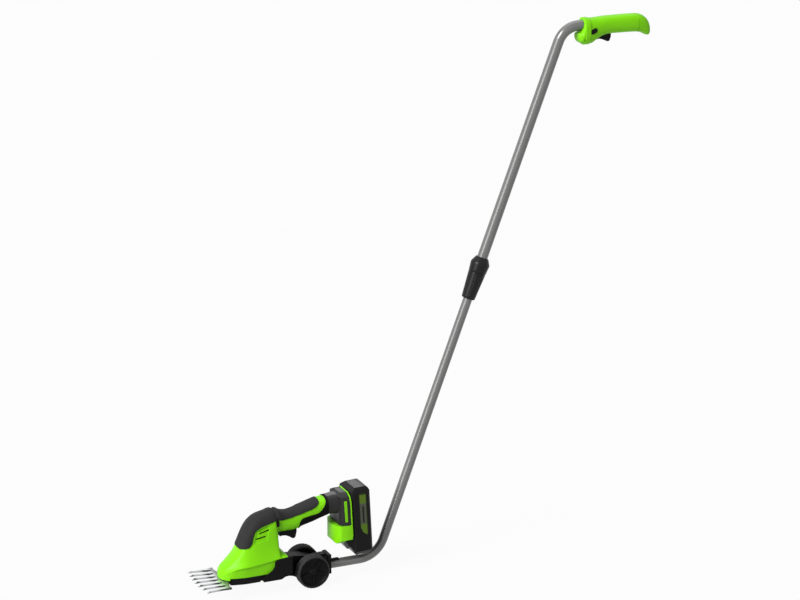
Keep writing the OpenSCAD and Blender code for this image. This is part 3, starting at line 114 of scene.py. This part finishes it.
def add_camera():
    """The photograph's view."""
    data = bpy.data.cameras.new("photo_camera")
    data.sensor_fit = "HORIZONTAL"
    data.sensor_width = SENSOR_WIDTH_MM
    data.lens = FOCAL_LENGTH_PX * SENSOR_WIDTH_MM / FRAME_WIDTH_PX
    data.clip_end = CAMERA_REACH
    camera = bpy.data.objects.new("photo_camera", data)
    bpy.context.collection.objects.link(camera)
    level = math.cos(CAMERA_ELEVATION)
    forward = Vector((-math.sin(CAMERA_AZIMUTH) * level, math.cos(CAMERA_AZIMUTH) * level,
                      -math.sin(CAMERA_ELEVATION)))
    right = forward.cross(Vector((0, 0, 1))).normalized()
    up = right.cross(forward)
    turn = Matrix((right, up, -forward)).transposed().to_4x4()
    camera.matrix_world = Matrix.Translation(CAMERA_PLACE) @ turn
    scene.camera = camera


class Tree:
    """A material and short calls for the nodes of its shader."""

    def __init__(self, name):
        self.material = bpy.data.materials.new(name)
        self.material.use_nodes = True
        self.tree = self.material.node_tree
        self.shader = self.tree.nodes["Principled BSDF"]
        coordinates = self.new("ShaderNodeTexCoord")
        self.place = coordinates.outputs["Object"]
        self.facing = coordinates.outputs["Normal"]

    def new(self, kind, **values):
        node = self.tree.nodes.new(kind)
        for key, value in values.items():
            setattr(node, key, value)
        return node

    def link(self, output, socket):
        self.tree.links.new(output, socket)

    def put(self, socket, value):
        """Link a node's output, or set a constant."""
        if hasattr(value, "is_linked"):
            self.link(value, socket)
        else:
            socket.default_value = value

    def mapped(self, scale=(1, 1, 1), location=(0, 0, 0)):
        node = self.new("ShaderNodeMapping")
        node.inputs["Scale"].default_value = scale
        node.inputs["Location"].default_value = location
        self.link(self.place, node.inputs["Vector"])
        return node.outputs["Vector"]

    def axis(self, vector, letter):
        node = self.new("ShaderNodeSeparateXYZ")
        self.link(vector, node.inputs[0])
        return node.outputs[letter]

    def noise(self, scale, detail=3.0, rough=0.55, vector=None):
        node = self.new("ShaderNodeTexNoise")
        node.inputs["Scale"].default_value = scale
        node.inputs["Detail"].default_value = detail
        node.inputs["Roughness"].default_value = rough
        self.link(vector or self.place, node.inputs["Vector"])
        return node.outputs["Fac"]

    def cells(self, scale):
        node = self.new("ShaderNodeTexVoronoi")
        node.inputs["Scale"].default_value = scale
        self.link(self.place, node.inputs["Vector"])
        return node.outputs["Distance"]

    def math(self, operation, a, b=0.0):
        node = self.new("ShaderNodeMath", operation=operation)
        self.put(node.inputs[0], a)
        self.put(node.inputs[1], b)
        return node.outputs["Value"]

    def both(self, a, b):
        return self.math("MULTIPLY", a, b)

    def either(self, a, b):
        return self.math("MAXIMUM", a, b)

    def weighted(self, a, share, b):
        """The sum of this share of a and the rest of b."""
        return self.math("ADD", self.math("MULTIPLY", a, share), self.math("MULTIPLY", b, 1 - share))

    def span(self, value, low, high, to_low=0.0, to_high=1.0):
        node = self.new("ShaderNodeMapRange")
        self.put(node.inputs["Value"], value)
        self.put(node.inputs["From Min"], low)
        self.put(node.inputs["From Max"], high)
        self.put(node.inputs["To Min"], to_low)
        self.put(node.inputs["To Max"], to_high)
        return node.outputs["Result"]

    def mix(self, share, a, b):
        """Colour a, with this share of colour b."""
        node = self.new("ShaderNodeMix", data_type="RGBA")
        for socket, value in ((MIX_SHARE, share), (MIX_FIRST, a), (MIX_SECOND, b)):
            if isinstance(value, tuple):
                value = value + (1.0,)
            self.put(node.inputs[socket], value)
        return node.outputs[MIX_RESULT]

    def rounded(self, radius):
        """Shading normal with rounded edges."""
        bevel = self.new("ShaderNodeBevel", samples=ROUNDING_SAMPLES)
        bevel.inputs["Radius"].default_value = radius
        return bevel.outputs["Normal"]

    def worn(self, rounded):
        """A mask that rises along sharp edges, where the rounded normal leaves the face's own."""
        own = self.new("ShaderNodeNewGeometry").outputs["Normal"]
        dot = self.new("ShaderNodeVectorMath", operation="DOT_PRODUCT")
        self.link(rounded, dot.inputs[0])
        self.link(own, dot.inputs[1])
        return self.span(dot.outputs["Value"], *WEAR_BAND)

    def upward(self, low, high):
        """A mask of the faces that look up, in the piece's own axes."""
        return self.span(self.axis(self.facing, "Z"), low, high)

    def bump(self, height, depth, normal):
        node = self.new("ShaderNodeBump")
        node.inputs["Strength"].default_value = 1.0
        node.inputs["Distance"].default_value = depth
        self.link(height, node.inputs["Height"])
        self.link(normal, node.inputs["Normal"])
        return node.outputs["Normal"]

    def done(self, color, rough, normal, metallic=0.0, specular=0.5):
        self.link(color, self.shader.inputs["Base Color"])
        self.link(rough, self.shader.inputs["Roughness"])
        self.link(normal, self.shader.inputs["Normal"])
        self.shader.inputs["Metallic"].default_value = metallic
        self.shader.inputs["Specular IOR Level"].default_value = specular
        return self.material


def shade(color, factor):
    return tuple(min(1.0, channel * factor) for channel in color)


def plastic(name, color, rough, rim, grain=1400.0, depth=0.00004, spread=0.07, specular=0.5, painted_sheen=0.0):
    """Moulded plastic: fine eroded grain, slight flow clouds, worn edges, and a painted sheen that lightens
    level tops.
    """
    edge_radius = 0.0007
    cloud_scale = 16.0
    scuff_scale, scuff_band = 220.0, (0.42, 0.68)
    level_band = (0.968, 0.99)
    sheen_cloud_band, sheen_cover = (0.2, 0.8), (0.7, 1.0)
    grain_share, gloss_change = 0.6, 0.07
    tree = Tree(name)
    normal = tree.rounded(edge_radius)
    cloud = tree.noise(cloud_scale, detail=2.0)
    fine = tree.noise(grain, detail=2.0, rough=0.7)
    tone = tree.mix(tree.span(cloud, *NOISE_BAND), shade(color, 1 - spread), shade(color, 1 + spread))
    scuffs = tree.span(tree.noise(scuff_scale, detail=4.0), *scuff_band)
    tone = tree.mix(tree.both(tree.worn(normal), scuffs), tone, shade(color, rim))
    # Painted sheen: level tops are lightened towards a grey, patchy with the clouds
    if painted_sheen:
        sheen_mask = tree.both(tree.upward(*level_band), tree.span(cloud, *sheen_cloud_band, *sheen_cover))
        tone = tree.mix(sheen_mask, tone, (painted_sheen, painted_sheen, painted_sheen))
    gloss = tree.span(tree.weighted(fine, grain_share, cloud), *NOISE_BAND,
                      rough - gloss_change, rough + gloss_change)
    return tree.done(tone, gloss, tree.bump(fine, depth, normal), specular=specular)


def rubber(name, color, specular, rough=0.72, dots=620.0, side=0.3):
    """Soft overmould: tiny pips, dusty clouds, painted shade on faces that do not look up, paler on its
    edges.
    """
    edge_radius = 0.0009
    pip_band, pip_share, pip_depth = (0.12, 0.42), 0.5, 0.00008
    pore_scale = 2600.0
    cloud_scale, cloud_band = 38.0, (0.35, 0.75)
    dark_cloud, pale_cloud = 0.88, 1.16
    side_shade_band = (-0.15, 0.4)
    edge_share, pale_edge = 0.3, 1.6
    gloss_change = 0.06
    tree = Tree(name)
    normal = tree.rounded(edge_radius)
    pips = tree.span(tree.cells(dots), *pip_band, to_low=1.0, to_high=0.0)
    cloud = tree.noise(cloud_scale, detail=4.0, rough=0.6)
    tone = tree.mix(tree.span(cloud, *cloud_band), shade(color, dark_cloud), shade(color, pale_cloud))
    # Painted shade: faces that do not look up are darkened by the factor side
    tone = tree.mix(tree.upward(*side_shade_band), shade(color, side), tone)
    tone = tree.mix(tree.both(tree.worn(normal), edge_share), tone, shade(color, pale_edge))
    height = tree.weighted(pips, pip_share, tree.noise(pore_scale, detail=2.0))
    gloss = tree.span(cloud, *NOISE_BAND, rough - gloss_change, rough + gloss_change)
    return tree.done(tone, gloss, tree.bump(height, pip_depth, normal), specular=specular)


def metal(name, color, rough, grain, depth=0.00002, spread=0.1, metallic=1.0, specular=0.5):
    """Metal or coated metal: a fine grain in tone, gloss and height, and bright edges."""
    edge_radius = 0.0004
    edge_share, bright_edge = 0.45, 1.3
    cloud_scale = 30.0
    grain_share = 0.7
    gloss_gain, gloss_loss = 0.06, 0.08
    tree = Tree(name)
    normal = tree.rounded(edge_radius)
    fine = tree.noise(grain, rough=0.6)
    cloud = tree.noise(cloud_scale)
    tone = tree.mix(tree.span(fine, *NOISE_BAND), shade(color, 1 - spread), shade(color, 1 + spread))
    tone = tree.mix(tree.both(tree.worn(normal), edge_share), tone, shade(color, bright_edge))
    gloss = tree.span(tree.weighted(fine, grain_share, cloud), *NOISE_BAND,
                      rough - gloss_gain, rough + gloss_loss)
    return tree.done(tone, gloss, tree.bump(fine, depth, normal), metallic=metallic, specular=specular)


def blade(name, node):
    """Ground teeth: bright flats that turn to painted shade near the roots, and flanks in painted shade that
    is lighter along their middle, between the tips and the roots.
    """
    edge_radius = 0.0003
    line_scale, line_stretch, line_depth = 1500.0, 0.06, 0.00001
    dull, bright = (0.66, 0.67, 0.68), (0.78, 0.79, 0.8)
    painted_root_shade = (0.22, 0.225, 0.22)
    flank_middle_grey = (0.5, 0.51, 0.52)
    painted_flank_shade = (0.06, 0.062, 0.064)
    flat_band = (0.6, 0.93)
    gloss_band = (0.32, 0.44)
    # Metres from the tip where the painted shade of the roots begins, and where the flanks' lighter middle
    # begins and ends
    root_begins = (0.042, 0.052)
    flank_middle_begins, flank_middle_ends = (0.007, 0.013), (0.036, 0.026)
    tree = Tree(name)
    normal = tree.rounded(edge_radius)
    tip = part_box(node)[0][0]
    from_tip = tree.axis(tree.mapped(location=(-tip, 0, 0)), "X")
    flat = tree.span(tree.math("ABSOLUTE", tree.axis(tree.facing, "Z")), *flat_band)
    lines = tree.noise(line_scale, rough=0.6, vector=tree.mapped(scale=(line_stretch, 1, 1)))
    ground = tree.mix(tree.span(lines, *NOISE_BAND), dull, bright)
    # Painted shade: the flats darken to grey towards the roots, and the flanks are dark with a lighter middle
    # band
    top = tree.mix(tree.span(from_tip, *root_begins), ground, painted_root_shade)
    bevel = tree.both(tree.span(from_tip, *flank_middle_begins), tree.span(from_tip, *flank_middle_ends))
    flank = tree.mix(bevel, painted_flank_shade, flank_middle_grey)
    gloss = tree.span(lines, *NOISE_BAND, *gloss_band)
    return tree.done(tree.mix(flat, flank, top), gloss, tree.bump(lines, line_depth, normal), metallic=0.8)


def panel(name, node):
    """Inlay of the battery's side: a dark rim, olive ends and a grey field with a black stripe."""
    edge_radius = 0.0005
    grain_scale, grain_depth = 1500.0, 0.00003
    cloud_scale, cloud_share = 60.0, 0.2
    gloss_band = (0.3, 0.42)
    rim = (0.018, 0.034, 0.007)
    ends = (0.1, 0.185, 0.014)
    field = (0.08, 0.09, 0.068)
    stripe = (0.013, 0.016, 0.012)
    lean = 0.0524
    # Soft borders of the areas, in shares of half the panel's box
    upper_end, lower_end = (0.5, 0.54), (-0.42, -0.46)
    stripe_side, stripe_end = (0.2, 0.16), (0.4, 0.36)
    rim_side, rim_end = (0.6, 0.66), (0.9, 0.93)
    low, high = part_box(node)
    middle = (low + high) / 2
    half = (high - low) / 2
    tree = Tree(name)
    normal = tree.rounded(edge_radius)
    local = tree.mapped(location=(-middle[0], 0, -middle[2]))
    level = tree.axis(local, "Z")
    upright = tree.math("ADD", tree.axis(local, "X"), tree.math("MULTIPLY", level, lean))
    across = tree.math("DIVIDE", tree.math("ABSOLUTE", upright), half[0])
    height = tree.math("DIVIDE", level, half[2])
    from_middle = tree.math("ABSOLUTE", height)
    cloud = tree.noise(cloud_scale)
    at_ends = tree.either(tree.span(height, *upper_end), tree.span(height, *lower_end))
    at_stripe = tree.both(tree.span(across, *stripe_side), tree.span(from_middle, *stripe_end))
    at_rim = tree.either(tree.span(across, *rim_side), tree.span(from_middle, *rim_end))
    tone = tree.mix(at_ends, field, ends)
    tone = tree.mix(at_stripe, tone, stripe)
    tone = tree.mix(at_rim, tone, rim)
    tone = tree.mix(tree.both(cloud, cloud_share), tone, stripe)
    gloss = tree.span(cloud, *NOISE_BAND, *gloss_band)
    fine = tree.noise(grain_scale, detail=2.0)
    return tree.done(tone, gloss, tree.bump(fine, grain_depth, normal), specular=0.12)


def materials_by_slot():
    return {
        "lime_shell": plastic("lime_moulding", LIME, rough=0.36, rim=1.18, depth=0.000015, spread=0.05,
                              specular=0.14),
        "soft_grip": rubber("soft_charcoal", CHARCOAL, specular=0.13),
        # Charcoal with a painted sheen on its level tops
        "dark_plastic": plastic("charcoal_moulding", shade(CHARCOAL, 0.68), rough=0.4, rim=1.7, grain=1100.0,
                                depth=0.00006, specular=0.2, painted_sheen=0.12),
        "black_plastic": plastic("black_moulding", BLACK, rough=0.42, rim=2.4, grain=1000.0, depth=0.00006,
                                 specular=0.07),
        "white_plastic": plastic("natural_acetal", (0.72, 0.7, 0.64), rough=0.4, rim=1.08),
        "cell_wrap": plastic("cell_wrap", (0.05, 0.26, 0.1), rough=0.3, rim=1.3),
        "latch_plastic": plastic("latch_grey", (0.16, 0.165, 0.17), rough=0.45, rim=1.4),
        "panel_plastic": panel("battery_inlay", "battery_panels"),
        # Tyre: only slight painted shade on faces that do not look up
        "tread": rubber("tyre_tread", (0.036, 0.0356, 0.036), specular=0.1, rough=0.66, dots=800.0, side=0.9),
        "blade_steel": blade("ground_blade_steel", "fixed_blade"),
        "bright_steel": metal("turned_steel", (0.6, 0.61, 0.62), rough=0.28, grain=700.0),
        "plate_steel": metal("zinc_sheet", (0.5, 0.51, 0.53), rough=0.38, grain=260.0, spread=0.18),
        "bronze": metal("sintered_bronze", (0.55, 0.37, 0.16), rough=0.42, grain=1800.0),
        "tube_metal": metal("coated_tube", (0.1, 0.1, 0.098), rough=0.24, grain=1700.0, depth=0.000004,
                            spread=0.05, metallic=0.0, specular=1.0),
    }


def materials_by_node(by_slot):
    """Nodes whose finish differs from the rest of their slot."""
    # Battery pack: black with a painted sheen on its level tops
    pack = plastic("pack_moulding", BLACK, rough=0.36, rim=2.6, grain=1000.0, depth=0.00006, specular=0.11,
                   painted_sheen=0.13)
    satin = plastic("satin_moulding", shade(BLACK, 1.2), rough=0.29, rim=2.0, grain=1000.0, depth=0.00003,
                    specular=0.19)
    return {
        "axle_caps": by_slot["black_plastic"],
        "lower_grip": rubber("soft_black", BLACK, specular=0.08),
        "battery_case": pack,
        "battery_cover": pack,
        "lock_sleeve": satin,
        "lock_collar": satin,
    }


def add_materials():
    by_slot = materials_by_slot()
    by_node = materials_by_node(by_slot)
    for row in frame["record"]["subparts"]:
        slots = nodes[row["node"]].data.materials
        slots.clear()
        slots.append(by_node.get(row["node"], by_slot[row["material_slot"]]))


def smoothing_group():
    """Smooth shading across shallow edges, as a modifier, so the solids' own points stay as they are."""
    group = bpy.data.node_groups.new("smooth_shallow_edges", "GeometryNodeTree")
    group.interface.new_socket("Geometry", in_out="INPUT", socket_type="NodeSocketGeometry")
    group.interface.new_socket("Geometry", in_out="OUTPUT", socket_type="NodeSocketGeometry")
    add, link = group.nodes.new, group.links.new
    start = add("NodeGroupInput")
    end = add("NodeGroupOutput")
    merge = add("GeometryNodeMergeByDistance")
    merge.inputs["Distance"].default_value = SAME_POINT
    faces = add("GeometryNodeSetShadeSmooth")
    edges = add("GeometryNodeSetShadeSmooth")
    edges.domain = "EDGE"
    measure = add("GeometryNodeInputMeshEdgeAngle")
    shallow = add("FunctionNodeCompare")
    shallow.data_type = "FLOAT"
    shallow.operation = "LESS_THAN"
    shallow.inputs["B"].default_value = SMOOTH_ANGLE
    link(start.outputs[0], merge.inputs["Geometry"])
    link(merge.outputs["Geometry"], faces.inputs["Geometry"])
    link(faces.outputs["Geometry"], edges.inputs["Geometry"])
    link(measure.outputs["Unsigned Angle"], shallow.inputs["A"])
    link(shallow.outputs["Result"], edges.inputs["Shade Smooth"])
    link(edges.outputs["Geometry"], end.inputs[0])
    return group


def smooth_nodes():
    group = smoothing_group()
    for solid in nodes.values():
        modifier = solid.modifiers.new("smooth_shallow_edges", "NODES")
        modifier.node_group = group


def add_springs():
    """Springs as copies of the model's own, which are hidden, each carried by its body."""
    joints = {row["name"]: row for row in frame["record"]["behaviour"]["joints"]}
    for node, body, joint in SPRINGS:
        solid, row = nodes[node], joints[joint]
        coil = bpy.data.objects.new(node + "_coil", solid.data.copy())
        bpy.context.collection.objects.link(coil)
        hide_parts(node)
        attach(coil, body)
        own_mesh(coil)


def seen_directly(tree):
    """1 for rays that show a surface as it is: from the camera, in a reflection or through glass."""
    path = tree.nodes.new("ShaderNodeLightPath")
    seen = path.outputs["Is Camera Ray"]
    for ray in ("Is Glossy Ray", "Is Transmission Ray"):
        either = tree.nodes.new("ShaderNodeMath")
        either.operation = "MAXIMUM"
        tree.links.new(seen, either.inputs[0])
        tree.links.new(path.outputs[ray], either.inputs[1])
        seen = either.outputs[0]
    return seen


def floor_material():
    """Pale grey that takes the object's shadow, and shows as nearly white."""
    material = bpy.data.materials.new("pale_floor")
    material.use_nodes = True
    tree = material.node_tree
    add, link = tree.nodes.new, tree.links.new
    tree.nodes.remove(tree.nodes["Principled BSDF"])
    diffuse = add("ShaderNodeBsdfDiffuse")
    diffuse.inputs["Color"].default_value = FLOOR_COLOR
    glow = add("ShaderNodeEmission")
    share = add("ShaderNodeMath")
    share.operation = "MULTIPLY"
    share.inputs[1].default_value = FLOOR_WHITE
    blend = add("ShaderNodeMixShader")
    link(seen_directly(tree), share.inputs[0])
    link(share.outputs[0], blend.inputs[0])
    link(diffuse.outputs[0], blend.inputs[1])
    link(glow.outputs[0], blend.inputs[2])
    link(blend.outputs[0], tree.nodes["Material Output"].inputs["Surface"])
    return material


def add_floor():
    half = FLOOR_HALF
    corners = [(-half, -half, 0), (half, -half, 0), (half, half, 0), (-half, half, 0)]
    mesh = bpy.data.meshes.new("floor")
    mesh.from_pydata(corners, [], [(0, 1, 2, 3)])
    mesh.materials.append(floor_material())
    floor = bpy.data.objects.new("floor", mesh)
    floor.location.z = -FLOOR_DROP
    bpy.context.collection.objects.link(floor)


def add_backdrop():
    """A white world that lights the object only a little."""
    world = bpy.data.worlds.new("studio")
    scene.world = world
    world.use_nodes = True
    tree = world.node_tree
    background = tree.nodes["Background"]
    background.inputs["Color"].default_value = (1, 1, 1, 1)
    strength = tree.nodes.new("ShaderNodeMapRange")
    strength.inputs["To Min"].default_value = BACKDROP_LIGHT
    strength.inputs["To Max"].default_value = BACKDROP_SEEN
    tree.links.new(seen_directly(tree), strength.inputs["Value"])
    tree.links.new(strength.outputs["Result"], background.inputs["Strength"])


def add_lamps():
    for name, (toward, strength, width) in LAMPS.items():
        data = bpy.data.lights.new(name, "SUN")
        data.energy = strength
        data.angle = math.radians(width)
        lamp = bpy.data.objects.new(name, data)
        bpy.context.collection.objects.link(lamp)
        direction = Vector(toward).normalized()
        lamp.location = direction * LAMP_DISTANCE
        lamp.rotation_euler = direction.to_track_quat("Z", "Y").to_euler()


add_camera()
add_materials()
smooth_nodes()
add_springs()
add_floor()
add_backdrop()
add_lamps()
